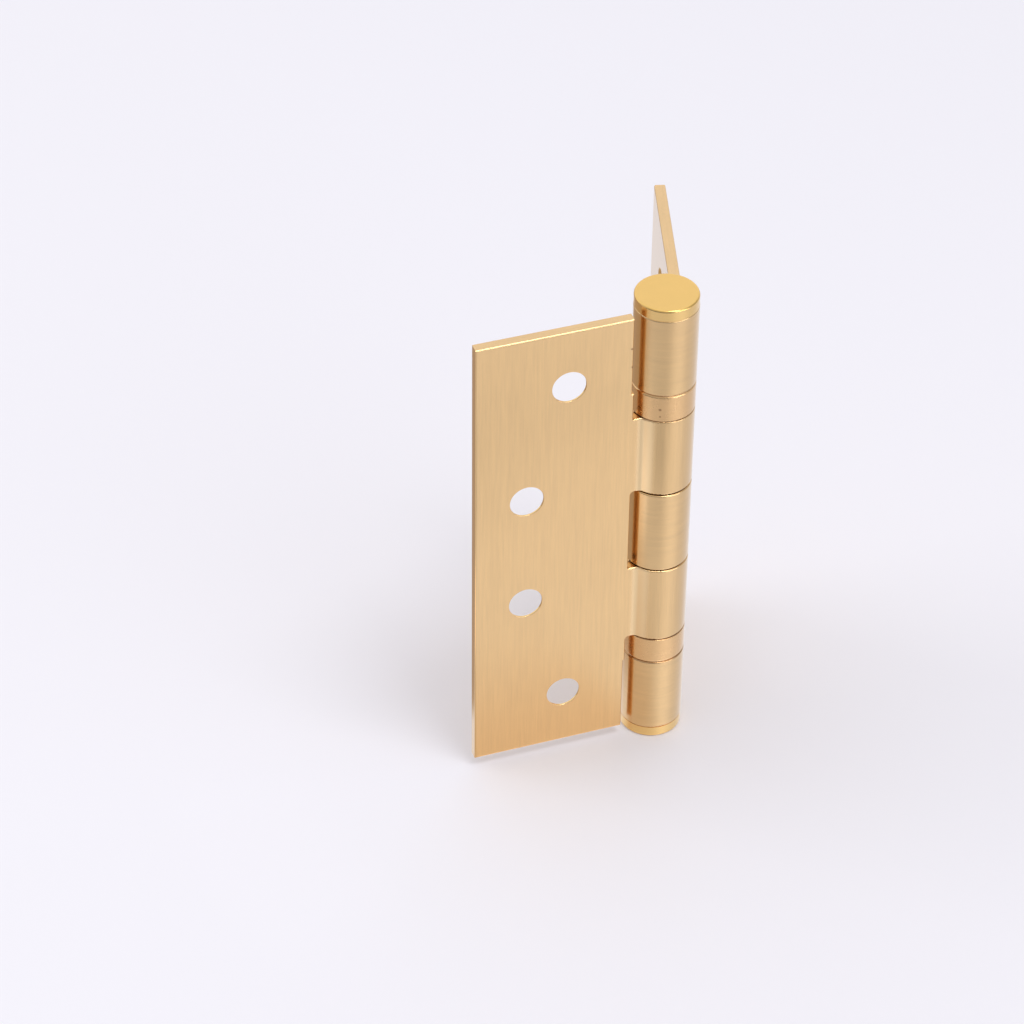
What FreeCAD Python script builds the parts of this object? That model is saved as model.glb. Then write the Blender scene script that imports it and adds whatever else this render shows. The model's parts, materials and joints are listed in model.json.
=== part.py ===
"""Two-ball-bearing butt hinge, as a parametric FreeCAD document in millimetres.

The pin stands along +Z. The origin is on the pin's axis, on the flat underside of the bottom cap.
The frame leaf runs out along +Y with its mounting face towards +X. The door leaf is shown part open.
Each leaf is drawn with its plate along +X and its mounting face towards +Y, and then placed.
"""

import FreeCAD, Part
import os

import Sketcher
from FreeCAD import Placement, Rotation, Vector

# Every size that can be set by itself. Lengths are in millimetres, angles in degrees.
SIZES = {
    "leaf_height": 100.0,
    "leaf_width": 38.0,  # from the pin's axis to the outer edge
    "leaf_thickness": 2.2,  # also the wall of the rolled knuckles
    "closed_gap": 2.1,  # between the countersunk faces when the hinge is closed
    "edge_round": 0.3,
    "blend_radius": 1.3,  # where the mounting face flows into a knuckle
    "seam_width": 0.2,  # between a knuckle's rolled tip and the plate
    "pin_diameter": 7.8,
    "pin_clearance": 0.05,
    "pin_chamfer": 0.5,
    "end_knuckle": 17.2,
    "centre_knuckle": 18.3,
    "knuckle_gap": 0.3,
    "notch_clearance": 0.9,  # from a knuckle to the notch of the other leaf
    "notch_relief": 0.35,  # how much deeper the end notches are beside the end knuckles
    "notch_corner": 0.8,  # inside a notch, at its upper end
    "notch_heel": 0.25,  # inside a notch, at its lower end
    "screw_bore": 6.7,
    "screw_head": 10.4,
    "screw_cone": 90.0,
    "screw_break": 0.1,  # rounding of a bore's edge on the mounting face
    "screw_near": 19.8,  # from the pin's axis to the end holes
    "screw_far": 27.8,  # from the pin's axis to the middle holes
    "screw_inset": 12.5,  # from the leaf's end to the first hole
    "cap_height": 2.3,
    "cap_step": 0.05,  # how far a cap stays inside the knuckle's outside
    "cap_round": 0.4,
    "spigot_length": 5.0,
    "spigot_press": 0.01,
    "bearing_height": 6.0,
    "shell_wall": 0.35,
    "shell_crown": 0.55,  # rounding of the shell's drawn end, beside the frame leaf's knuckle
    "shell_edge": 0.15,  # rounding of its open end
    "shell_lip": 0.4,
    "shell_gap": 0.15,
    "race_clearance": 0.08,
    "race_gap": 0.6,
    "ball_diameter": 1.0,
    "ball_clearance": 0.04,
    "cage_height": 0.36,
    "cage_wall": 0.16,
    "rest_opening": 105.5,
}
BALLS = 14
HOLE_HEIGHTS = 4
TOOL_REACH = 5.0  # how far a cutting outline runs past what it cuts
SAME = 1e-3  # lengths closer than this are the same

# How a sketch numbers its points: its own origin as (geometry, point), and the points of a shape.
SKETCH_ORIGIN = (-1, 1)
LINE_START, LINE_END, CIRCLE_CENTRE = 1, 2, 3

# Sizes worked out from the others, as spreadsheet expressions.
BORE = "(sizes.pin_diameter / 2 + sizes.pin_clearance)"
BARREL = f"({BORE} + sizes.leaf_thickness)"
CSK_FACE = "(sizes.closed_gap / 2)"
WOOD_FACE = f"({CSK_FACE} + sizes.leaf_thickness)"
NOTCH = f"({BARREL} + sizes.notch_clearance)"
END_NOTCH = f"({NOTCH} + sizes.notch_relief)"
LEAF_BOTTOM = "sizes.cap_height"
LEAF_TOP = "(sizes.cap_height + sizes.leaf_height)"
MIDDLE = "(sizes.cap_height + sizes.leaf_height / 2)"
LOW_KNUCKLE_TOP = "(sizes.cap_height + sizes.end_knuckle)"
LOW_SLOT_TOP = f"({LOW_KNUCKLE_TOP} + sizes.bearing_height)"
LOW_CENTRE = f"({MIDDLE} - sizes.centre_knuckle / 2)"
HIGH_CENTRE = f"({MIDDLE} + sizes.centre_knuckle / 2)"
HIGH_SLOT_BOTTOM = f"({LEAF_TOP} - sizes.end_knuckle - sizes.bearing_height)"
HIGH_KNUCKLE_BOTTOM = f"({LEAF_TOP} - sizes.end_knuckle)"
SHELL_INSIDE = f"({BARREL} - sizes.shell_wall)"
RACE_BORE = "(sizes.pin_diameter / 2 + sizes.race_clearance)"
RACE_HEIGHT = "((sizes.bearing_height - sizes.shell_lip - sizes.race_gap) / 2)"
PITCH = f"(({RACE_BORE} + {SHELL_INSIDE}) / 2)"
BALL_PLANE = f"({RACE_HEIGHT} + sizes.race_gap / 2)"
TRACK = "(sizes.ball_diameter / 2 + sizes.ball_clearance)"

doc = FreeCAD.newDocument("butt_hinge")
sheet = doc.addObject("Spreadsheet::Sheet", "sizes")
for row, (alias, number) in enumerate(SIZES.items(), start=1):
    sheet.set(f"A{row}", alias.replace("_", " "))
    sheet.set(f"B{row}", str(number))
    sheet.setAlias(f"B{row}", alias)
doc.recompute()


def value(expression):
    """The number that a spreadsheet expression stands for."""
    return float(sheet.evalExpression(expression))


# ---------------------------------------------------------------- sketches and features


def new_body(name):
    body = doc.addObject("PartDesign::Body", name)
    body.Label = name
    return body


def origin_plane(body, role):
    return next(item for item in body.Origin.OriginFeatures if item.Role == role)


def new_sketch(body, name, plane, height=None):
    """A sketch on one of the body's own origin planes, raised along its normal if a height is given."""
    sketch = body.newObject("Sketcher::SketchObject", name)
    sketch.AttachmentSupport = [(origin_plane(body, plane), "")]
    sketch.MapMode = "FlatFace"
    if height:
        sketch.setExpression("AttachmentOffset.Base.z", height)
    return sketch


def pin_down(sketch, kind, geometry, point, name, expression):
    """Holds one coordinate of a point at an expression's distance from the sketch's origin."""
    ends = (*SKETCH_ORIGIN, geometry, point)
    index = sketch.addConstraint(Sketcher.Constraint(kind, *ends, value(expression)))
    sketch.renameConstraint(index, name)
    sketch.setExpression(f"Constraints.{name}", expression)


def add_polygon(sketch, name, corners):
    """A closed outline of straight lines, through corners that are each held by a pair of expressions."""
    points = [Vector(value(x), value(y), 0) for x, y in corners]
    count = len(points)
    first = sketch.GeometryCount
    for index in range(count):
        sketch.addGeometry(Part.LineSegment(points[index], points[(index + 1) % count]), False)
    for index in range(count):
        following = first + (index + 1) % count
        joined = (first + index, LINE_END, following, LINE_START)
        sketch.addConstraint(Sketcher.Constraint("Coincident", *joined))
    for index, (x, y) in enumerate(corners):
        pin_down(sketch, "DistanceX", first + index, LINE_START, f"{name}_x{index}", x)
        pin_down(sketch, "DistanceY", first + index, LINE_START, f"{name}_y{index}", y)


def add_rectangle(sketch, name, left, right, low, high):
    add_polygon(sketch, name, [(left, low), (right, low), (right, high), (left, high)])


def add_circle(sketch, name, x, y, radius):
    centre = Vector(value(x), value(y), 0)
    index = sketch.addGeometry(Part.Circle(centre, Vector(0, 0, 1), value(radius)), False)
    pin_down(sketch, "DistanceX", index, CIRCLE_CENTRE, f"{name}_x", x)
    pin_down(sketch, "DistanceY", index, CIRCLE_CENTRE, f"{name}_y", y)
    held = sketch.addConstraint(Sketcher.Constraint("Radius", index, value(radius)))
    sketch.renameConstraint(held, f"{name}_radius")
    sketch.setExpression(f"Constraints.{name}_radius", radius)


def pad(body, sketch, name, length):
    feature = body.newObject("PartDesign::Pad", name)
    feature.Profile = sketch
    feature.setExpression("Length", length)
    doc.recompute()
    return feature


def cut_through(body, sketch, name):
    """A pocket that runs both ways from its sketch, so it can't point away from the solid."""
    before = body.Shape.Volume
    feature = body.newObject("PartDesign::Pocket", name)
    feature.Profile = sketch
    feature.SideType = "Symmetric"
    feature.Type = "ThroughAll"
    doc.recompute()
    if body.Shape.Volume >= before:
        raise RuntimeError(f"{name} cut nothing from {body.Label}")
    return feature


def revolve(body, sketch, name, kind="PartDesign::Revolution"):
    feature = body.newObject(kind, name)
    feature.Profile = sketch
    feature.ReferenceAxis = (sketch, ["V_Axis"])
    feature.Angle = 360
    doc.recompute()
    return feature


def dress(body, kind, name, size, property_name, wanted):
    """A fillet or chamfer on every edge of the body's tip that passes the test."""
    tip = body.Tip
    edges = [f"Edge{i}" for i, edge in enumerate(tip.Shape.Edges, start=1) if wanted(edge)]
    if not edges:
        raise RuntimeError(f"{name} found no edges on {body.Label}")
    feature = body.newObject(kind, name)
    feature.Base = (tip, edges)
    feature.setExpression(property_name, size)
    doc.recompute()
    return feature


def round_edges(body, name, size, wanted):
    return dress(body, "PartDesign::Fillet", name, size, "Radius", wanted)


def chamfer_edges(body, name, size, wanted):
    return dress(body, "PartDesign::Chamfer", name, size, "Size", wanted)


def near(a, b):
    return abs(a - b) < SAME


def spans(edge, axis):
    """The lowest and highest value of one coordinate along an edge."""
    box = edge.BoundBox
    return {
        "x": (box.XMin, box.XMax),
        "y": (box.YMin, box.YMax),
        "z": (box.ZMin, box.ZMax),
    }[axis]


def lies_at(edge, axis, place):
    low, high = spans(edge, axis)
    return near(low, place) and near(high, place)


def is_round(edge, radius):
    """True for an edge that is an arc or circle of that radius about the Z axis."""
    curve = edge.Curve
    if not isinstance(curve, Part.Circle):
        return False
    on_axis = near(curve.Center.x, 0) and near(curve.Center.y, 0)
    return on_axis and near(curve.Radius, radius)


# ---------------------------------------------------------------- leaves


def make_leaf(name, notches, corners, heels):
    """A plate with its rolled barrel, less the notches: (label, depth, low, high) as expressions.

    corners and heels are the heights of the notches' wide and narrow inside corners.
    """
    body = new_body(name)
    plate = new_sketch(body, f"{name}_plate_outline", "XY_Plane", LEAF_BOTTOM)
    add_rectangle(plate, "plate", "0", "sizes.leaf_width", CSK_FACE, WOOD_FACE)
    pad(body, plate, f"{name}_plate", "sizes.leaf_height")
    barrel = new_sketch(body, f"{name}_barrel_outline", "XY_Plane", LEAF_BOTTOM)
    add_circle(barrel, "barrel", "0", "0", BARREL)
    pad(body, barrel, f"{name}_barrel", "sizes.leaf_height")

    def is_root(edge):
        """The inward corner between the mounting face and the barrel."""
        upright = edge.BoundBox.ZLength > value("sizes.leaf_height / 2")
        at_face = lies_at(edge, "y", value(WOOD_FACE))
        return upright and at_face and edge.BoundBox.XMax < value(BARREL)

    round_edges(body, f"{name}_blend", "sizes.blend_radius", is_root)

    bore = new_sketch(body, f"{name}_bore_outline", "XY_Plane")
    add_circle(bore, "bore", "0", "0", BORE)
    cut_through(body, bore, f"{name}_bore")
    seam = new_sketch(body, f"{name}_seam_outline", "XY_Plane")
    seam_low = f"{CSK_FACE} - sizes.seam_width"
    add_rectangle(seam, "seam", "0", f"{BARREL} + {TOOL_REACH}", seam_low, CSK_FACE)
    cut_through(body, seam, f"{name}_seam")

    for label, depth, low, high in notches:
        notch = new_sketch(body, f"{name}_{label}_outline", "XZ_Plane")
        add_rectangle(notch, label, f"-{BARREL} - {TOOL_REACH}", depth, low, high)
        cut_through(body, notch, f"{name}_{label}")

    round_notches(body, f"{name}_notch_corners", "sizes.notch_corner", corners)
    round_notches(body, f"{name}_notch_heels", "sizes.notch_heel", heels)
    round_leaf(body, name)
    cut_screw_holes(body, name)
    return body


def round_notches(body, name, size, heights):
    """The corners at these heights inside the notches, which run from face to face of the plate."""
    levels = [value(height) for height in heights]

    def is_corner(edge):
        from_face_to_face = near(edge.BoundBox.YLength, value("sizes.leaf_thickness"))
        at_notch = lies_at(edge, "x", value(NOTCH))
        return from_face_to_face and at_notch and any(lies_at(edge, "z", level) for level in levels)

    round_edges(body, name, size, is_corner)


def round_leaf(body, name):
    """The outline of both faces, which runs on round the ends of the knuckles."""
    outside = value(BARREL)
    faces = (value(WOOD_FACE), value(CSK_FACE))

    def is_outline(edge):
        is_level = near(edge.BoundBox.ZLength, 0)
        if is_level and is_round(edge, outside):
            return True
        if is_level and isinstance(edge.Curve, Part.Circle):
            return near(edge.Curve.Radius, value("sizes.blend_radius"))
        on_face = any(lies_at(edge, "y", face) for face in faces)
        return on_face and edge.BoundBox.XMax > outside

    round_edges(body, f"{name}_outline_round", "sizes.edge_round", is_outline)


def cut_screw_holes(body, name):
    """Four staggered bores, countersunk from the face that looks at the other leaf."""
    centres = new_sketch(body, f"{name}_screw_centres", "XZ_Plane", f"-{CSK_FACE}")
    pitch = f"((sizes.leaf_height - 2 * sizes.screw_inset) / {HOLE_HEIGHTS - 1})"
    for index in range(HOLE_HEIGHTS):
        at_end = index in (0, HOLE_HEIGHTS - 1)
        across = "sizes.screw_near" if at_end else "sizes.screw_far"
        up = f"{LEAF_BOTTOM} + sizes.screw_inset + {index} * {pitch}"
        add_circle(centres, f"screw{index}", across, up, "sizes.screw_bore / 2")
    before = body.Shape.Volume
    doc.recompute()
    hole = body.newObject("PartDesign::Hole", f"{name}_screw_holes")
    hole.Profile = centres
    hole.ThreadType = "None"
    hole.DepthType = "ThroughAll"
    hole.setExpression("Diameter", "sizes.screw_bore")
    hole.HoleCutType = "Countersink"
    hole.HoleCutCustomValues = True
    hole.setExpression("HoleCutDiameter", "sizes.screw_head")
    hole.setExpression("HoleCutCountersinkAngle", "sizes.screw_cone")
    hole.Reversed = False
    doc.recompute()
    if body.Shape.Volume >= before:
        hole.Reversed = True
        doc.recompute()
    if body.Shape.Volume >= before:
        raise RuntimeError(f"the screw holes cut nothing from {name}")

    def is_bore_mouth(edge):
        if not isinstance(edge.Curve, Part.Circle):
            return False
        is_bore = near(edge.Curve.Radius, value("sizes.screw_bore / 2"))
        return is_bore and lies_at(edge, "y", value(WOOD_FACE))

    round_edges(body, f"{name}_bore_mouths", "sizes.screw_break", is_bore_mouth)


# The frame leaf is drawn upside down, so its notches' upper ends are their lower ends here.
FRAME_NOTCHES = [
    ("lower_notch", NOTCH, LOW_KNUCKLE_TOP, LOW_CENTRE),
    ("upper_notch", NOTCH, HIGH_CENTRE, HIGH_KNUCKLE_BOTTOM),
]
FRAME_CORNERS = [LOW_KNUCKLE_TOP, HIGH_CENTRE]
FRAME_HEELS = [LOW_CENTRE, HIGH_KNUCKLE_BOTTOM]

MIDDLE_NOTCH_LOW = f"({LOW_CENTRE} - sizes.knuckle_gap)"
MIDDLE_NOTCH_HIGH = f"({HIGH_CENTRE} + sizes.knuckle_gap)"
DOOR_NOTCHES = [
    ("bottom_notch", NOTCH, f"{LEAF_BOTTOM} - {TOOL_REACH}", LOW_SLOT_TOP),
    ("bottom_relief", END_NOTCH, f"{LEAF_BOTTOM} - {TOOL_REACH}", LOW_KNUCKLE_TOP),
    ("middle_notch", NOTCH, MIDDLE_NOTCH_LOW, MIDDLE_NOTCH_HIGH),
    ("top_notch", NOTCH, HIGH_SLOT_BOTTOM, f"{LEAF_TOP} + {TOOL_REACH}"),
    ("top_relief", END_NOTCH, HIGH_KNUCKLE_BOTTOM, f"{LEAF_TOP} + {TOOL_REACH}"),
]
DOOR_CORNERS = [LOW_SLOT_TOP, MIDDLE_NOTCH_HIGH]
DOOR_HEELS = [MIDDLE_NOTCH_LOW, HIGH_SLOT_BOTTOM]


# ---------------------------------------------------------------- pin, caps and bearings


def make_pin():
    body = new_body("hinge_pin")
    outline = new_sketch(body, "pin_outline", "XY_Plane", f"{LEAF_BOTTOM} + sizes.spigot_length")
    add_circle(outline, "pin", "0", "0", "sizes.pin_diameter / 2")
    pad(body, outline, "pin_rod", "sizes.leaf_height - 2 * sizes.spigot_length")
    radius = value("sizes.pin_diameter / 2")
    chamfer_edges(body, "pin_ends", "sizes.pin_chamfer", lambda edge: is_round(edge, radius))
    return body


def make_cap(name):
    """A flat round head with a spigot that is pressed into the end knuckle's bore."""
    body = new_body(name)
    head = f"{BARREL} - sizes.cap_step"
    spigot = f"{BORE} + sizes.spigot_press"
    tip = "sizes.cap_height + sizes.spigot_length"
    outline = new_sketch(body, f"{name}_outline", "XZ_Plane")
    corners = [("0", "0"), (head, "0"), (head, "sizes.cap_height")]
    corners += [(spigot, "sizes.cap_height"), (spigot, tip), ("0", tip)]
    add_polygon(outline, "cap", corners)
    revolve(body, outline, f"{name}_turned")

    def is_rim(edge):
        return is_round(edge, value(head)) and lies_at(edge, "z", 0)

    def is_lead_in(edge):
        return is_round(edge, value(spigot)) and lies_at(edge, "z", value(tip))

    round_edges(body, f"{name}_rim", "sizes.cap_round", is_rim)
    chamfer_edges(body, f"{name}_lead_in", "sizes.pin_chamfer", is_lead_in)
    return body


# A bearing is drawn with the door leaf's knuckle at height 0 and the frame leaf's knuckle above it.


def make_shell(name):
    """The visible ring: a drawn cup whose lip lies between the frame race and its knuckle."""
    body = new_body(name)
    top = "sizes.bearing_height"
    lip = f"{top} - sizes.shell_lip"
    outline = new_sketch(body, f"{name}_outline", "XZ_Plane")
    corners = [(SHELL_INSIDE, "sizes.shell_gap"), (BARREL, "sizes.shell_gap"), (BARREL, top)]
    corners += [(PITCH, top), (PITCH, lip), (SHELL_INSIDE, lip)]
    add_polygon(outline, "shell", corners)
    revolve(body, outline, f"{name}_drawn")

    def is_rim_at(height):
        level = value(height)
        return lambda edge: is_round(edge, value(BARREL)) and lies_at(edge, "z", level)

    round_edges(body, f"{name}_crown", "sizes.shell_crown", is_rim_at(top))
    round_edges(body, f"{name}_open_edge", "sizes.shell_edge", is_rim_at("sizes.shell_gap"))
    return body


def make_race(name, outside, low, high):
    """A washer with a track for the balls in the face that looks at the other race."""
    body = new_body(name)
    outline = new_sketch(body, f"{name}_outline", "XZ_Plane")
    add_rectangle(outline, "race", RACE_BORE, outside, low, high)
    revolve(body, outline, f"{name}_turned")
    before = body.Shape.Volume
    track = new_sketch(body, f"{name}_track_outline", "XZ_Plane")
    add_circle(track, "track", PITCH, BALL_PLANE, TRACK)
    revolve(body, track, f"{name}_track", "PartDesign::Groove")
    if body.Shape.Volume >= before:
        raise RuntimeError(f"the ball track cut nothing from {name}")
    return body


def make_cage(name):
    """A flat ring with one round pocket for each ball."""
    body = new_body(name)
    pocket_radius = TRACK
    half_width = f"({pocket_radius} + sizes.cage_wall)"
    low = f"{BALL_PLANE} - sizes.cage_height / 2"
    high = f"{BALL_PLANE} + sizes.cage_height / 2"
    outline = new_sketch(body, f"{name}_outline", "XZ_Plane")
    add_rectangle(outline, "cage", f"{PITCH} - {half_width}", f"{PITCH} + {half_width}", low, high)
    revolve(body, outline, f"{name}_ring")
    centre = new_sketch(body, f"{name}_pocket_outline", "XY_Plane")
    add_circle(centre, "pocket", PITCH, "0", pocket_radius)
    first = cut_through(body, centre, f"{name}_pocket")
    pockets = body.newObject("PartDesign::PolarPattern", f"{name}_pockets")
    pockets.Originals = [first]
    pockets.Axis = (centre, ["N_Axis"])
    pockets.Angle = 360
    pockets.Occurrences = BALLS
    body.Tip = pockets
    doc.recompute()
    return body


def make_balls(name):
    """One solid for each ball, in the middle of its pocket."""
    balls = []
    for index in range(BALLS):
        ball = doc.addObject("Part::Sphere", f"{name}_{index}")
        ball.setExpression("Radius", "sizes.ball_diameter / 2")
        turn = f"{index} * 360 deg / {BALLS}"
        ball.setExpression("Placement.Base.x", f"{PITCH} * cos({turn})")
        ball.setExpression("Placement.Base.y", f"{PITCH} * sin({turn})")
        ball.setExpression("Placement.Base.z", BALL_PLANE)
        balls.append(ball)
    group = doc.addObject("Part::Compound", name)
    group.Label = name
    group.Links = balls
    return group


def make_bearing(side):
    running_outside = f"{SHELL_INSIDE} - sizes.pin_clearance"
    race_top = f"{RACE_HEIGHT} + sizes.race_gap"
    return [
        make_shell(f"{side}_bearing_shell"),
        make_race(f"{side}_bearing_door_race", running_outside, "0", RACE_HEIGHT),
        make_race(f"{side}_bearing_frame_race", SHELL_INSIDE, race_top, f"{race_top} + {RACE_HEIGHT}"),
        make_cage(f"{side}_bearing_cage"),
        make_balls(f"{side}_bearing_balls"),
    ]


# ---------------------------------------------------------------- assembly


TURNED_OVER = Rotation(Vector(1, 0, 0), 180)
UPRIGHT = Rotation()


def place(piece, rotation, height):
    piece.Placement = Placement(Vector(0, 0, value(height)), rotation)
    piece.setExpression("Placement.Base.z", height)


frame_leaf = make_leaf("frame_leaf", FRAME_NOTCHES, FRAME_CORNERS, FRAME_HEELS)
door_leaf = make_leaf("door_leaf", DOOR_NOTCHES, DOOR_CORNERS, DOOR_HEELS)
pin = make_pin()
bottom_cap = make_cap("bottom_cap")
top_cap = make_cap("top_cap")
lower_bearing = make_bearing("lower")
upper_bearing = make_bearing("upper")

# Turning the frame leaf upside down carries its mounting face to the other side.
place(frame_leaf, Rotation(Vector(0, 0, 1), 90) * TURNED_OVER, f"{LEAF_TOP} + {LEAF_BOTTOM}")
place(door_leaf, Rotation(Vector(0, 0, 1), 90 + value("sizes.rest_opening")), "0")
door_leaf.setExpression("Placement.Rotation.Angle", "90 + sizes.rest_opening")
place(top_cap, TURNED_OVER, f"{LEAF_TOP} + {LEAF_BOTTOM}")
for piece in lower_bearing:
    place(piece, TURNED_OVER, LOW_SLOT_TOP)
for piece in upper_bearing:
    place(piece, UPRIGHT, HIGH_SLOT_BOTTOM)

doc.recompute()
sub_parts = [frame_leaf, door_leaf, pin, bottom_cap, top_cap, *lower_bearing, *upper_bearing]
for item in doc.Objects:
    if "Invalid" in item.State or "Error" in item.State:
        raise RuntimeError(f"{item.Label} failed: {item.State}")
for piece in sub_parts:
    if piece.Shape.isNull() or not piece.Shape.isValid():
        raise RuntimeError(f"{piece.Label} has no valid shape")

os.makedirs("parts", exist_ok=True)
for piece in sub_parts:
    piece.Shape.exportStep(f"parts/{piece.Label}.step")
    print(f"{piece.Label}: {len(piece.Shape.Solids)} solid(s), {piece.Shape.Volume:.2f} mm3")
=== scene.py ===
import json
import math

import bpy
from mathutils import Matrix, Vector


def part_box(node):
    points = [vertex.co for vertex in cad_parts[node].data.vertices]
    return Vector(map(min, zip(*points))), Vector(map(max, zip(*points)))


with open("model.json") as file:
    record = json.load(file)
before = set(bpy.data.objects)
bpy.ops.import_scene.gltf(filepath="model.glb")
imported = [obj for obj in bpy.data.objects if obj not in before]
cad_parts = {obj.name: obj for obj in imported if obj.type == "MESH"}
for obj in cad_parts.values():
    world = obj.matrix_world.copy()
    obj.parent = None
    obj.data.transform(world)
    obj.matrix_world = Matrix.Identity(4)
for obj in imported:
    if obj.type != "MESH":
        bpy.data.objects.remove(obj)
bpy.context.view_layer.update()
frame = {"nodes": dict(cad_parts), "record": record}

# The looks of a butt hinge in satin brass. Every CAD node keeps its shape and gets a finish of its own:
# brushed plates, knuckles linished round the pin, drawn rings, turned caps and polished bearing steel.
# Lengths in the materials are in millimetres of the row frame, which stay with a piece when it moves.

NODES = frame["nodes"]
MOUNTS = {mount["name"]: mount for mount in frame["record"]["mounts"]}
PER_METRE = 1000.0

# Sizes that the finishes line up with, in millimetres.
BARREL_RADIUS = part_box("top_cap")[1].x * PER_METRE
LEAF_MIDDLE = (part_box("frame_leaf")[0].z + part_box("frame_leaf")[1].z) / 2 * PER_METRE
BORE_RADIUS = MOUNTS["frame_end_screws"]["dims"]["hole_r_mm"]
COUNTERSINK_RADIUS = 5.2
LEAF_THICKNESS = 2.2
RING_HEIGHTS = [
    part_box(f"{place}_bearing_shell")[end].z * PER_METRE for place in ("upper", "lower") for end in (0, 1)
]

# Linear colours of the clean metals, of tarnish, and of painted light and shade.
SATIN_BRASS = (0.827, 0.556, 0.266)
WARM_BRASS = (0.825, 0.525, 0.245)
CAP_BRASS = (0.895, 0.575, 0.172)
# Painted light: the caps' sides are painted lighter than their faces, for the dimmer light that reaches them.
CAP_SIDE_PAINTED_LIGHT = (0.960, 0.645, 0.250)
CUT_BRASS = (0.900, 0.640, 0.270)
# A painted highlight at the knuckles' roots, where the lights make none.
ROOT_PAINTED_HIGHLIGHT = (1.000, 0.740, 0.410)
# Tarnish, nicks and stains, and also painted shade along the joints beside the rings and over the notch's
# glint.
TARNISH_AND_SHADE = (0.300, 0.130, 0.045)
GROUND_STEEL = (0.560, 0.550, 0.530)
BEARING_STEEL = (0.620, 0.620, 0.615)

# Gloss. Leaves and rings carry a full coat of lacquer and the caps a thinner one.
LACQUER_ROUGHNESS = 0.18
FULL_LACQUER = 0.9
THIN_LACQUER = 0.6
BRUSHED_ANISOTROPY = 0.5
ALONG_THE_PIN = 0.25  # of a turn, from round the pin

# The grain, in features per millimetre along x, y and z.
BRUSHED_FINE = (3.8, 3.8, 0.12)
BRUSHED_WIDE = (1.3, 1.3, 0.030)
KNUCKLE_FINE = (0.12, 0.12, 2.0)
KNUCKLE_WIDE = (0.10, 0.10, 1.1)
END_FACE_GRAIN = (0.12, 3.0, 3.0)
LEAF_CLOUD = (0.09, 0.09, 0.055)
CUTTER_RINGS = (4.0, 4.0, 1.0)
RING_FINE = (0.22, 0.22, 4.5)
RING_WIDE = (0.10, 0.10, 1.1)
RING_CLOUD = (0.25, 0.25, 0.25)
CAP_TURNED = (3.5, 4.5, 1.0)
CAP_SCRATCHED = (0.35, 4.0, 4.0)
CAP_CROSSED = (5.0, 0.5, 4.0)
CAP_CLOUD = (0.22, 0.22, 0.22)
PIN_GRAIN = (0.3, 0.3, 5.0)
RACE_GRAIN = (0.4, 0.4, 6.0)
BALL_GRAIN = (2.0, 2.0, 2.0)
STEEL_FILM = (0.6, 0.6, 0.6)
CAGE_GRAIN = (2.5, 2.5, 2.5)
CAGE_CLOUD = (0.5, 0.5, 0.5)

# How deep each relief goes, in metres.
LEAF_RELIEF = 0.000003
RING_RELIEF = 0.0000004
CAP_RELIEF = 0.000002
STEEL_RELIEF = 0.000002
CAGE_RELIEF = 0.000004

# Where the leaf's zones begin and end, in millimetres.
BARREL_EASE = (0.06, 0.25)  # beyond the barrel's radius
COUNTERSINK_EASE = 0.04
SUNK_FACE_EASE = (0.02, 0.06)  # under the face that the screw heads sink into
BORE_EXIT_EASE = (0.14, 0.08)  # short of the mounting face
ROOT_SPAN = (3.0, 4.3, 5.4, 6.6)  # from the pin, where the mounting face flows into a knuckle
ROOT_DEPTH = 0.1
MOUTH_EASE = (0.1, 0.25, 0.9)  # from the bore's edge
KNUCKLE_JOINT = (0.12, 0.42)  # from a ring's end, into the knuckle
RING_JOINT = (0.03, 0.20)  # from a ring's end, into the ring

# Dark marks. On the rings each is a stain: an angle round the pin in degrees, a height and a radius. On the
# leaf each is a centre, by the distance from the pin, out of the mounting face and up, and a radius. The
# first two on the leaf are nicks. The last two are painted shade: they darken the notch beside the upper ring,
# where the rounded corner glints.
RING_STAINS = [(-100.4, 82.05, 0.38), (-99.9, 80.45, 0.26)]
LEAF_MARKS = [
    ((7.75, 3.25, 95.7), 0.30),
    ((7.55, 3.25, 91.5), 0.32),
    ((4.5, 3.1, 79.1), 0.95),
    ((4.6, 3.1, 84.0), 0.60),
]


# ---------------------------------------------------------------- node helpers


def add(tree, kind, inputs=None, **settings):
    """A node with its settings and inputs. An input is a number, a colour or another node's output."""
    made = tree.nodes.new(kind)
    for name, setting in settings.items():
        setattr(made, name, setting)
    for socket, source in (inputs or {}).items():
        if isinstance(source, bpy.types.NodeSocket):
            tree.links.new(source, made.inputs[socket])
        else:
            made.inputs[socket].default_value = source
    return made


def compute(tree, operation, *operands, clamp=False):
    inputs = dict(enumerate(operands))
    return add(tree, "ShaderNodeMath", inputs, operation=operation, use_clamp=clamp).outputs[0]


def scaled(tree, number, factor):
    return compute(tree, "MULTIPLY", number, factor)


def total(tree, *numbers):
    result = numbers[0]
    for number in numbers[1:]:
        result = compute(tree, "ADD", result, number)
    return result


def smallest(tree, numbers):
    result = numbers[0]
    for number in numbers[1:]:
        result = compute(tree, "MINIMUM", result, number)
    return result


def combine(tree, operation, *vectors):
    """Vector arithmetic that gives a vector."""
    return add(tree, "ShaderNodeVectorMath", dict(enumerate(vectors)), operation=operation).outputs[0]


def measure(tree, operation, *vectors):
    """Vector arithmetic that gives a number, such as LENGTH or DOT_PRODUCT."""
    return add(tree, "ShaderNodeVectorMath", dict(enumerate(vectors)), operation=operation).outputs[1]


def parts(tree, vector):
    """The x, y and z of a vector."""
    return tuple(add(tree, "ShaderNodeSeparateXYZ", {0: vector}).outputs)


def point(tree, x, y, z=0.0):
    return add(tree, "ShaderNodeCombineXYZ", {0: x, 1: y, 2: z}).outputs[0]


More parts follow.
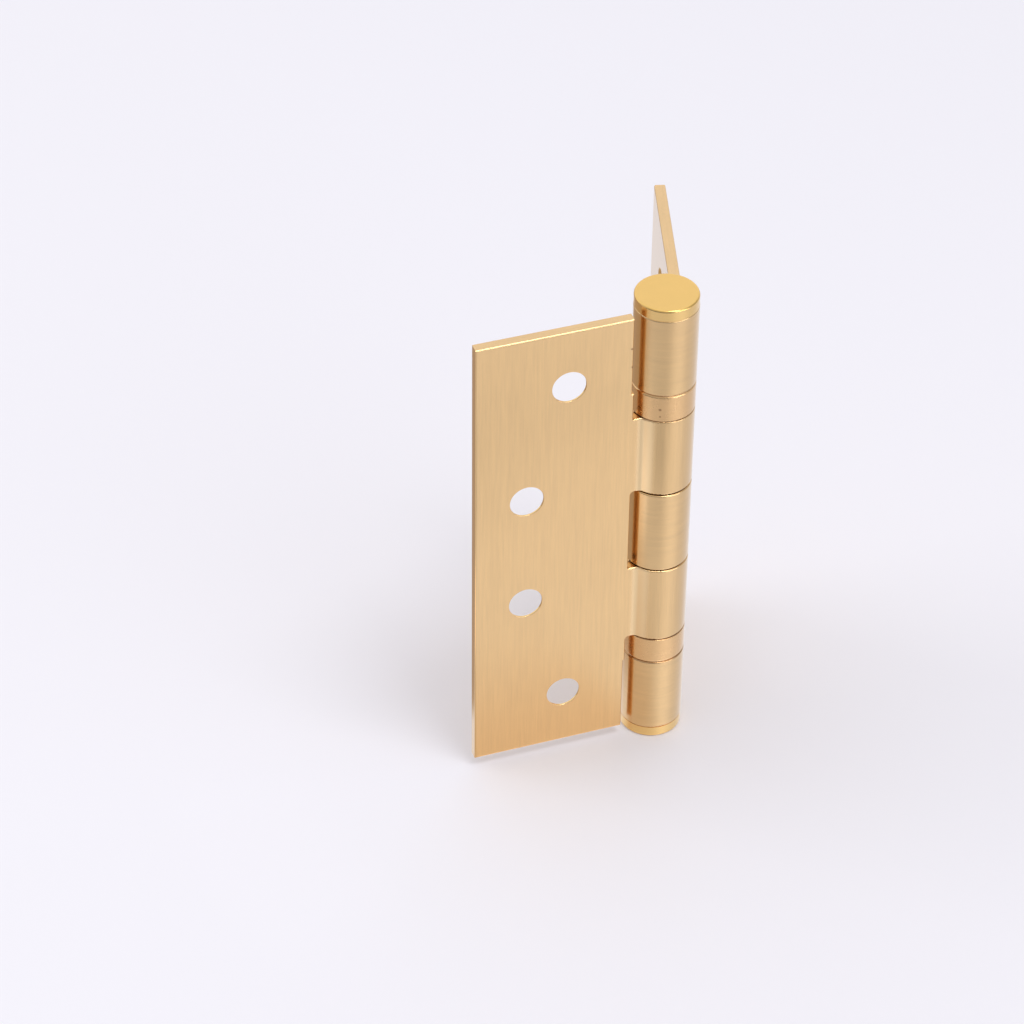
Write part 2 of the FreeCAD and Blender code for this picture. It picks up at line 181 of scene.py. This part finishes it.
def rise(tree, number, low, high):
    """0 below low, 1 above high, and a smooth step between them."""
    inputs = {"Value": number, "From Min": low, "From Max": high, "To Min": 0.0, "To Max": 1.0}
    return add(tree, "ShaderNodeMapRange", inputs, interpolation_type="SMOOTHSTEP").outputs[0]


def fall(tree, number, low, high):
    return compute(tree, "SUBTRACT", 1.0, rise(tree, number, low, high))


def both(tree, *masks):
    """The product of several masks."""
    product = masks[0]
    for mask in masks[1:]:
        product = compute(tree, "MULTIPLY", product, mask)
    return product


def between(tree, number, start, full, ease, end):
    """0 before start, 1 from full to ease, and 0 after end."""
    return both(tree, rise(tree, number, start, full), fall(tree, number, ease, end))


def mix(tree, share, first, second):
    """A number from first to second."""
    inputs = {0: share, 2: first, 3: second}
    return add(tree, "ShaderNodeMix", inputs, data_type="FLOAT").outputs[0]


def tint(tree, share, first, second):
    """A colour from first to second. A plain colour is three linear numbers."""
    colors = [c if isinstance(c, bpy.types.NodeSocket) else (*c, 1.0) for c in (first, second)]
    inputs = {0: share, 6: colors[0], 7: colors[1]}
    return add(tree, "ShaderNodeMix", inputs, data_type="RGBA").outputs[2]


def shades(tree, tone, color, dark, light):
    """Shades of one colour, from dark to light times it as tone goes from 0 to 1."""
    return tint(tree, tone, *([min(part * factor, 1.0) for part in color] for factor in (dark, light)))


def noise(tree, place, frequency, detail=3.0, shift=0.0):
    """Noise about 0.5, with a frequency along each axis in features per millimetre."""
    stretched = combine(tree, "MULTIPLY", place, frequency)
    moved = combine(tree, "ADD", stretched, (shift, shift, shift))
    inputs = {"Vector": moved, "Scale": 1.0, "Detail": detail, "Roughness": 0.6}
    return add(tree, "ShaderNodeTexNoise", inputs).outputs[0]


def swing(tree, number, amount):
    """How far a noise is from its middle, times amount."""
    return scaled(tree, compute(tree, "SUBTRACT", number, 0.5), amount)


def tone_of(tree, *swings):
    """A tone about 0.5, held between 0 and 1."""
    return compute(tree, "ADD", total(tree, 0.5, *swings[:-1]), swings[-1], clamp=True)


def new_material(name):
    material = bpy.data.materials.new(name)
    material.use_nodes = True
    material.node_tree.nodes.clear()
    return material, material.node_tree


def object_millimetres(tree):
    place = add(tree, "ShaderNodeTexCoord").outputs["Object"]
    return combine(tree, "MULTIPLY", place, (PER_METRE,) * 3)


def from_pin(tree, place):
    """Millimetres from the pin's axis."""
    return measure(tree, "LENGTH", combine(tree, "MULTIPLY", place, (1.0, 1.0, 0.0)))


def steepness(tree):
    """1 on a face that looks up or down and 0 on a face that stands upright."""
    normal = add(tree, "ShaderNodeTexCoord").outputs["Normal"]
    return compute(tree, "ABSOLUTE", parts(tree, normal)[2])


def round_the_pin(tree, x, y):
    """Degrees round the pin from the front, positive towards the right."""
    return compute(tree, "DEGREES", compute(tree, "ARCTAN2", x, scaled(tree, y, -1.0)))


def finish_metal(tree, color, roughness, height, depth, anisotropy=0.0, turn=0.0, lacquer=0.0):
    """The metal shader. height is a relief from 0 to 1 and depth its size in metres.

    Reflections draw out round the pin's axis, or along it where turn is a quarter.
    """
    bump = add(tree, "ShaderNodeBump", {"Height": height, "Distance": depth, "Strength": 1.0})
    inputs = {"Base Color": color, "Roughness": roughness, "Metallic": 1.0, "Normal": bump.outputs[0]}
    shader = add(tree, "ShaderNodeBsdfPrincipled", inputs)
    if lacquer:
        shader.inputs["Coat Weight"].default_value = lacquer
        shader.inputs["Coat Roughness"].default_value = LACQUER_ROUGHNESS
    if anisotropy:
        shader.inputs["Anisotropic"].default_value = anisotropy
        tangent = add(tree, "ShaderNodeTangent", direction_type="RADIAL", axis="Z")
        tree.links.new(tangent.outputs[0], shader.inputs["Tangent"])
        if isinstance(turn, bpy.types.NodeSocket):
            tree.links.new(turn, shader.inputs["Anisotropic Rotation"])
        else:
            shader.inputs["Anisotropic Rotation"].default_value = turn
    add(tree, "ShaderNodeOutputMaterial", {"Surface": shader.outputs[0]})


def spots(tree, place, marks):
    """A mask of small round marks: (centre, radius), in millimetres of the coordinates in place."""
    clear = 1.0
    for centre, radius in marks:
        distance = measure(tree, "LENGTH", combine(tree, "SUBTRACT", place, centre))
        clear = compute(tree, "MULTIPLY", clear, rise(tree, distance, 0.45 * radius, radius))
    return compute(tree, "SUBTRACT", 1.0, clear)


def joint_lines(tree, z, full, end):
    """A mask round both ends of the two rings, where a line of painted shade is laid along the joints."""
    distances = [
        compute(tree, "ABSOLUTE", compute(tree, "SUBTRACT", z, height)) for height in RING_HEIGHTS
    ]
    return fall(tree, smallest(tree, distances), full, end)


# ---------------------------------------------------------------- leaves


def leaf_axes(side):
    """The leaf's directions, away from the pin and out of its mounting face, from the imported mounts."""
    face = MOUNTS[f"{side}_leaf_face"]
    outward = Vector(face["axis"]).normalized()
    across = Vector((*face["pos_m"][:2], 0))
    across -= outward * across.dot(outward)
    return across.normalized(), outward


def leaf_coordinates(tree, side):
    """Millimetres from the pin along the leaf, out of its mounting face, and up."""
    across, outward = leaf_axes(side)
    place = object_millimetres(tree)
    u = measure(tree, "DOT_PRODUCT", place, across)
    v = measure(tree, "DOT_PRODUCT", place, outward)
    z = parts(tree, place)[2]
    return u, v, z, point(tree, u, v, z)


def hole_distance(tree, side, u, z):
    """Millimetres to the axis of the nearest screw hole. The holes mirror about the leaf's middle."""
    across, _ = leaf_axes(side)
    height = compute(tree, "ABSOLUTE", compute(tree, "SUBTRACT", z, LEAF_MIDDLE))
    distances = []
    for name in ("end", "middle"):
        mount = MOUNTS[f"{side}_{name}_screws"]
        out = Vector(mount["pos_m"]).dot(across) * PER_METRE
        dims = mount["dims"]
        up = dims.get("spacing_y_mm", dims.get("pcd_mm")) / 2
        offset = point(tree, compute(tree, "SUBTRACT", u, out), compute(tree, "SUBTRACT", height, up))
        distances.append(measure(tree, "LENGTH", offset))
    return smallest(tree, distances)


def leaf_grain(tree, place, on_barrel, knuckles_turned):
    """Fine and wide brush lines: along the pin on the plate, and round it on turned knuckles."""
    fine = noise(tree, place, BRUSHED_FINE, 4.0)
    wide = noise(tree, place, BRUSHED_WIDE, 2.0, 11.0)
    if knuckles_turned:
        fine = mix(tree, on_barrel, fine, noise(tree, place, KNUCKLE_FINE, 4.0, 3.0))
        wide = mix(tree, on_barrel, wide, noise(tree, place, KNUCKLE_WIDE, 2.0, 5.0))
    on_end = rise(tree, steepness(tree), 0.6, 0.9)
    fine = mix(tree, on_end, fine, noise(tree, place, END_FACE_GRAIN, 3.0, 7.0))
    return fine, wide


def countersink_mask(tree, from_hole, v, wood_face):
    """The countersinks and bores, from under the sunk face to just short of the mounting face."""
    inside = fall(tree, from_hole, COUNTERSINK_RADIUS, COUNTERSINK_RADIUS + COUNTERSINK_EASE)
    sunk_face = wood_face - LEAF_THICKNESS
    below_sunk_face = rise(tree, v, *(sunk_face + ease for ease in SUNK_FACE_EASE))
    above_wood_face = fall(tree, v, *(wood_face - ease for ease in BORE_EXIT_EASE))
    return both(tree, inside, below_sunk_face, above_wood_face)


def leaf_finish(side, knuckles_turned, marks):
    """Satin plate brushed along the pin, with cut countersinks.

    A lighter strip is painted at the knuckles' roots. It stands in for a highlight that the lights don't make.
    """
    material, tree = new_material(f"{side}_leaf_satin_brass")
    u, v, z, place = leaf_coordinates(tree, side)
    on_barrel = fall(tree, from_pin(tree, place), *(BARREL_RADIUS + ease for ease in BARREL_EASE))
    from_hole = hole_distance(tree, side, u, z)
    _, outward = leaf_axes(side)
    wood_face = Vector(MOUNTS[f"{side}_leaf_face"]["pos_m"]).dot(outward) * PER_METRE
    cut = countersink_mask(tree, from_hole, v, wood_face)
    root = both(tree, between(tree, u, *ROOT_SPAN), rise(tree, v, wood_face - ROOT_DEPTH, wood_face))
    joints = both(tree, on_barrel, joint_lines(tree, z, *KNUCKLE_JOINT))
    mouth_start, mouth_ease, mouth_end = (BORE_RADIUS + ease for ease in MOUTH_EASE)
    mouth = between(tree, from_hole, BORE_RADIUS, mouth_start, mouth_ease, mouth_end)

    fine, wide = leaf_grain(tree, place, on_barrel, knuckles_turned)
    cloud = noise(tree, place, LEAF_CLOUD, 3.0, 23.0)
    cutter_rings = noise(tree, point(tree, from_hole, v), CUTTER_RINGS, 2.0)

    tone = tone_of(tree, swing(tree, fine, 1.7), swing(tree, wide, 0.6), swing(tree, cloud, 1.1))
    color = shades(tree, tone, SATIN_BRASS, 0.94, 1.055)
    color = tint(tree, cut, color, CUT_BRASS)
    # A painted highlight: a lighter strip at the knuckles' roots.
    color = tint(tree, root, color, ROOT_PAINTED_HIGHLIGHT)
    # Painted shade: a dark line along the knuckles' joints with the rings.
    color = tint(tree, scaled(tree, joints, 0.55), color, TARNISH_AND_SHADE)
    color = tint(tree, scaled(tree, mouth, 0.18), color, WARM_BRASS)
    if marks:
        # Nicks, and painted shade that darkens the glint in the notch beside the upper ring.
        color = tint(tree, scaled(tree, spots(tree, place, marks), 0.75), color, TARNISH_AND_SHADE)

    roughness = total(tree, 0.24, swing(tree, fine, 0.08), swing(tree, cloud, 0.05))
    roughness = mix(tree, cut, roughness, total(tree, 0.15, swing(tree, cutter_rings, 0.12)))
    roughness = mix(tree, root, roughness, 0.33)
    relief = total(tree, scaled(tree, fine, 0.8), scaled(tree, wide, 0.5))
    relief = mix(tree, cut, relief, scaled(tree, cutter_rings, 2.0))
    turn = scaled(tree, on_barrel, ALONG_THE_PIN) if knuckles_turned else 0.0
    finish_metal(tree, color, roughness, relief, LEAF_RELIEF, BRUSHED_ANISOTROPY, turn, FULL_LACQUER)
    return material


# ---------------------------------------------------------------- rings, caps, pin and bearings


def ring_finish(name, stains):
    """A drawn ring, linished round the pin. A stain is an angle round the pin, a height and a radius."""
    material, tree = new_material(name)
    place = object_millimetres(tree)
    z = parts(tree, place)[2]
    fine = noise(tree, place, RING_FINE, 3.0)
    wide = noise(tree, place, RING_WIDE, 2.0, 9.0)
    cloud = noise(tree, place, RING_CLOUD, 3.0, 31.0)
    tone = tone_of(tree, swing(tree, fine, 0.3), swing(tree, wide, 0.5), swing(tree, cloud, 0.9))
    color = shades(tree, tone, WARM_BRASS, 0.97, 1.07)
    # Painted shade: a dark line along the ring's ends, at its joints with the knuckles.
    color = tint(tree, scaled(tree, joint_lines(tree, z, *RING_JOINT), 0.40), color, TARNISH_AND_SHADE)
    marks = []
    for degrees, height, radius in stains:
        angle = math.radians(degrees)
        centre = Vector((math.cos(angle) * BARREL_RADIUS, math.sin(angle) * BARREL_RADIUS, height))
        marks.append((centre, radius))
    if marks:
        color = tint(tree, scaled(tree, spots(tree, place, marks), 0.7), color, TARNISH_AND_SHADE)
    roughness = total(tree, 0.27, swing(tree, cloud, 0.06))
    finish_metal(tree, color, roughness, wide, RING_RELIEF, BRUSHED_ANISOTROPY, ALONG_THE_PIN, FULL_LACQUER)
    return material


def cap_finish(name, shift):
    """A faced and polished cap: faint turning rings, hairline scratches and a little patina.

    Its side is painted lighter than its face, to make up for the dimmer light that reaches it.
    """
    material, tree = new_material(name)
    place = object_millimetres(tree)
    z = parts(tree, place)[2]
    turned = noise(tree, point(tree, from_pin(tree, place), z), CAP_TURNED, 3.0, shift)
    scratched = noise(tree, place, CAP_SCRATCHED, 3.0, shift + 3.0)
    crossed = noise(tree, place, CAP_CROSSED, 3.0, shift + 5.0)
    cloud = noise(tree, place, CAP_CLOUD, 4.0, shift + 7.0)
    tone = tone_of(tree, swing(tree, turned, 0.35), swing(tree, scratched, 0.3), swing(tree, cloud, 1.1))
    on_side = fall(tree, steepness(tree), 0.2, 0.6)
    face_color = shades(tree, tone, CAP_BRASS, 0.95, 1.03)
    # Painted light: the side is painted lighter than the face.
    color = tint(tree, on_side, face_color, shades(tree, tone, CAP_SIDE_PAINTED_LIGHT, 0.95, 1.0))
    patina = rise(tree, cloud, 0.60, 0.78)
    color = tint(tree, scaled(tree, patina, 0.25), color, WARM_BRASS)
    roughness = total(tree, 0.24, swing(tree, turned, 0.08), swing(tree, crossed, 0.06))
    relief = total(tree, turned, scaled(tree, scratched, 0.5), scaled(tree, crossed, 0.4))
    finish_metal(tree, color, roughness, relief, CAP_RELIEF, lacquer=THIN_LACQUER)
    return material


def steel_finish(name, base, roughness, grain_frequency):
    """Ground or polished steel, with its grain and a thin film of grease."""
    material, tree = new_material(name)
    place = object_millimetres(tree)
    grain = noise(tree, place, grain_frequency, 4.0)
    film = noise(tree, place, STEEL_FILM, 3.0, 13.0)
    tone = tone_of(tree, swing(tree, grain, 0.6), swing(tree, film, 0.8))
    rough = total(tree, roughness, swing(tree, grain, 0.10), swing(tree, film, 0.08))
    finish_metal(tree, shades(tree, tone, base, 0.86, 1.0), rough, grain, STEEL_RELIEF)
    return material


def cage_finish(name):
    """Stamped brass strip with a dull, slightly mottled skin."""
    material, tree = new_material(name)
    place = object_millimetres(tree)
    grain = noise(tree, place, CAGE_GRAIN, 4.0)
    cloud = noise(tree, place, CAGE_CLOUD, 3.0, 17.0)
    tone = tone_of(tree, swing(tree, grain, 0.6), swing(tree, cloud, 0.9))
    rough = total(tree, 0.38, swing(tree, grain, 0.12))
    finish_metal(tree, shades(tree, tone, WARM_BRASS, 0.8, 1.0), rough, grain, CAGE_RELIEF)
    return material


FINISHES = {
    "frame_leaf": lambda: leaf_finish("frame", True, []),
    "door_leaf": lambda: leaf_finish("door", False, LEAF_MARKS),
    "hinge_pin": lambda: steel_finish("ground_pin_steel", GROUND_STEEL, 0.24, PIN_GRAIN),
    "top_cap": lambda: cap_finish("top_cap_brass", 0.0),
    "bottom_cap": lambda: cap_finish("bottom_cap_brass", 40.0),
    "upper_bearing_shell": lambda: ring_finish("upper_ring_brass", RING_STAINS),
    "lower_bearing_shell": lambda: ring_finish("lower_ring_brass", []),
}
RACE_STEEL = steel_finish("race_steel", BEARING_STEEL, 0.16, RACE_GRAIN)
BALL_STEEL = steel_finish("ball_steel", BEARING_STEEL, 0.08, BALL_GRAIN)
CAGE_BRASS = cage_finish("cage_brass")


def finish_pieces():
    for name, piece in NODES.items():
        if name in FINISHES:
            material = FINISHES[name]()
        elif name.endswith("_race"):
            material = RACE_STEEL
        elif name.endswith("_balls"):
            material = BALL_STEEL
        else:
            material = CAGE_BRASS
        piece.material_slots[0].material = material


# ---------------------------------------------------------------- studio

# The camera, in degrees and metres. It looks along +Y, from a little to the left and above.
AZIMUTH, ELEVATION, ROLL = 3.74, 39.24, 0.56
DISTANCE = 0.7147
LENS = 131.1
SENSOR = 36
AIM = Vector((-0.0279, 0.00185, 0.0523))

FLOOR_SIDE = 9.0
REFLECTION_SIDE = 6.0
REFLECTION_HEIGHT = 0.0003
PAPER_COLOR = (0.805, 0.795, 0.850)
PAPER_LIGHT = (0.985, 0.985, 1.0)
PAPER_GLOW = 0.035

# What the metal sees in place of the plain floor. It isn't the plain floor's own reflection: the patches were
# placed by trial so that the brass shows the original's light and dark bands from the main camera, and they
# hold for no other view. Without floor_reflection the scene has the plain floor and soft lights only.
# A patch has four distances from the pin in millimetres and four angles round it in degrees, where it starts,
# is full, eases and ends, and then the change in brightness.
BOUNCE_COLOR = (0.900, 0.890, 0.925)
WARM_BOUNCE = (0.800, 0.690, 0.610)
PROP_BOUNCE = (0.800, 0.620, 0.450)
FAR_BOUNCE = (0.120, 0.115, 0.120)
BOUNCE_GLOSS = 0.42
BOUNCE_ROUGHNESS = 0.30
PATCHES = [
    ((96, 103, 113, 124), (-85, -76, 20, 50), -0.22),
    ((76, 96, 102, 112), (-35, -10, 0, 22), -0.38),
    ((66, 76, 94, 102), (-84, -76, -56, -36), 1.20),
]
# props is a painted reflection: a darker, browner patch behind the door leaf, where no prop stands. far is
# painted dark in the reflection far in front, and warm is a painted warm bounce beside the door leaf's mounting
# face.
PROP_ANGLES, PROP_START, PROP_CHANGE = (-170, -150, -95, -86), (8, 40), -0.68
FAR_ANGLES, FAR_START, FAR_SHARE = (-100, -60, 50, 80), (150, 320), 0.2
WARM_SPAN, WARM_EASE = (-1, 3, 4, 45), (-6, 6)

# The world's brightness round the horizon: degrees from the front, towards the right, and radiance. It isn't
# even, and was also set by trial against the original's tones.
SURROUND = [
    (-180, 0.97), (-150, 0.95), (-110, 0.95), (-75, 0.62), (-50, 0.52), (-25, 0.52), (0, 0.50),
    (22, 0.75), (45, 1.00), (62, 0.90), (85, 0.50), (110, 0.50), (140, 0.85), (160, 0.97), (180, 0.97),
]
SURROUND_SCALE = 2.0
SURROUND_COLOR = (0.990, 0.985, 1.0)
OVERHEAD = 1.00
OVERHEAD_EASE = (0.72, 0.95)


def make_camera():
    azimuth, elevation = math.radians(AZIMUTH), math.radians(ELEVATION)
    level = math.cos(elevation)
    ahead = Vector((math.sin(azimuth) * level, math.cos(azimuth) * level, -math.sin(elevation)))
    data = bpy.data.cameras.new("camera")
    data.lens = LENS
    data.sensor_width = SENSOR
    camera = bpy.data.objects.new("camera", data)
    bpy.context.scene.collection.objects.link(camera)
    camera.rotation_mode = "QUATERNION"
    rolled = Matrix.Rotation(math.radians(ROLL), 4, "Z").to_quaternion()
    camera.rotation_quaternion = ahead.to_track_quat("-Z", "Y") @ rolled
    camera.location = AIM - ahead * DISTANCE
    bpy.context.scene.camera = camera


def staged_square(name, side, height, material):
    mesh = bpy.data.meshes.new(name)
    half = side / 2
    corners = [(-half, -half, 0), (half, -half, 0), (half, half, 0), (-half, half, 0)]
    mesh.from_pydata(corners, [], [(0, 1, 2, 3)])
    mesh.materials.append(material)
    square = bpy.data.objects.new(name, mesh)
    bpy.context.scene.collection.objects.link(square)
    square.location.z = height
    return square


def paper():
    """Pale paper on a light table: part of its brightness comes through it, which keeps shadows soft."""
    material, tree = new_material("pale_paper")
    inputs = {
        "Base Color": (*PAPER_COLOR, 1.0),
        "Roughness": 0.9,
        "Specular IOR Level": 0.1,
        "Emission Color": (*PAPER_LIGHT, 1.0),
        "Emission Strength": PAPER_GLOW,
    }
    shader = add(tree, "ShaderNodeBsdfPrincipled", inputs)
    add(tree, "ShaderNodeOutputMaterial", {"Surface": shader.outputs[0]})
    return material


def bounce():
    """The hidden floor that only reflections see: a glowing, glossy surface with the patches painted on it."""
    material, tree = new_material("floor_bounce")
    place = object_millimetres(tree)
    x, y, _ = parts(tree, place)
    out = measure(tree, "LENGTH", place)
    angle = round_the_pin(tree, x, y)
    # Painted reflections: the props, far and warm patches.
    props = both(tree, between(tree, angle, *PROP_ANGLES), rise(tree, out, *PROP_START))
    far = both(tree, between(tree, angle, *FAR_ANGLES), rise(tree, out, *FAR_START))
    strength = 1.0
    for distances, angles, change in PATCHES:
        patch = both(tree, between(tree, out, *distances), between(tree, angle, *angles))
        strength = compute(tree, "ADD", strength, scaled(tree, patch, change))
    strength = compute(tree, "ADD", strength, scaled(tree, props, PROP_CHANGE))
    strength = compute(tree, "MULTIPLY", strength, mix(tree, far, 1.0, FAR_SHARE))
    _, outward = leaf_axes("door")
    from_leaf = measure(tree, "DOT_PRODUCT", place, outward)
    warm = both(tree, between(tree, from_leaf, *WARM_SPAN), fall(tree, x, *WARM_EASE))
    color = tint(tree, warm, BOUNCE_COLOR, WARM_BOUNCE)
    color = tint(tree, props, color, PROP_BOUNCE)
    light = add(tree, "ShaderNodeEmission", {"Color": color, "Strength": strength}).outputs[0]
    inputs = {"Color": tint(tree, far, color, FAR_BOUNCE), "Roughness": BOUNCE_ROUGHNESS}
    mirrored = add(tree, "ShaderNodeBsdfGlossy", inputs).outputs[0]
    surface = add(tree, "ShaderNodeMixShader", {0: BOUNCE_GLOSS, 1: light, 2: mirrored})
    add(tree, "ShaderNodeOutputMaterial", {"Surface": surface.outputs[0]})
    return material


def softbox(name, azimuth, height, distance, size, radiance, reflected=True, lights_floor=True):
    """A soft light that stands at an angle round the hinge and faces it. It never shows itself."""
    data = bpy.data.lights.new(name, "AREA")
    data.shape = "RECTANGLE"
    data.size, data.size_y = size
    data.energy = radiance * math.pi * size[0] * size[1]
    light = bpy.data.objects.new(name, data)
    bpy.context.scene.collection.objects.link(light)
    angle = math.radians(azimuth)
    light.location = (math.cos(angle) * distance, math.sin(angle) * distance, height)
    light.rotation_mode = "QUATERNION"
    middle = Vector((0, 0, LEAF_MIDDLE / PER_METRE))
    light.rotation_quaternion = (middle - light.location).to_track_quat("-Z", "Y")
    light.visible_camera = False
    light.visible_glossy = reflected
    light.visible_diffuse = lights_floor


def make_surround():
    """The world: a brightness round the horizon, and another overhead."""
    world = bpy.data.worlds.new("studio")
    world.use_nodes = True
    tree = world.node_tree
    direction = add(tree, "ShaderNodeTexCoord").outputs["Generated"]
    x, y, z = parts(tree, direction)
    turn = compute(tree, "MULTIPLY_ADD", round_the_pin(tree, x, y), 1 / 360, 0.5)
    curve = add(tree, "ShaderNodeFloatCurve", {"Value": turn})
    points = curve.mapping.curves[0].points
    for degrees, brightness in SURROUND[1:-1]:
        points.new(degrees / 360 + 0.5, brightness / SURROUND_SCALE)
    points[0].location = (0.0, SURROUND[0][1] / SURROUND_SCALE)
    points[len(points) - 1].location = (1.0, SURROUND[-1][1] / SURROUND_SCALE)
    curve.mapping.update()
    strength = scaled(tree, curve.outputs[0], SURROUND_SCALE)
    strength = mix(tree, rise(tree, z, *OVERHEAD_EASE), strength, OVERHEAD)
    background = tree.nodes["Background"]
    background.inputs["Color"].default_value = (*SURROUND_COLOR, 1.0)
    tree.links.new(strength, background.inputs["Strength"])
    bpy.context.scene.world = world


def make_studio():
    staged_square("floor", FLOOR_SIDE, 0.0, paper())
    reflected = staged_square("floor_reflection", REFLECTION_SIDE, REFLECTION_HEIGHT, bounce())
    reflected.visible_camera = False
    reflected.visible_shadow = False
    reflected.visible_diffuse = False
    softbox("right_softbox", azimuth=-50, height=1.35, distance=0.55, size=(0.50, 0.40), radiance=7.0)
    softbox(
        "left_softbox", azimuth=172, height=0.40, distance=1.0, size=(0.7, 0.5), radiance=2.6, reflected=False
    )
    softbox(
        "low_strip", azimuth=-46, height=0.24, distance=1.2, size=(1.0, 0.30), radiance=3.2,
        lights_floor=False,
    )
    make_surround()
    bpy.context.scene.view_settings.view_transform = "Standard"


finish_pieces()
make_camera()
make_studio()
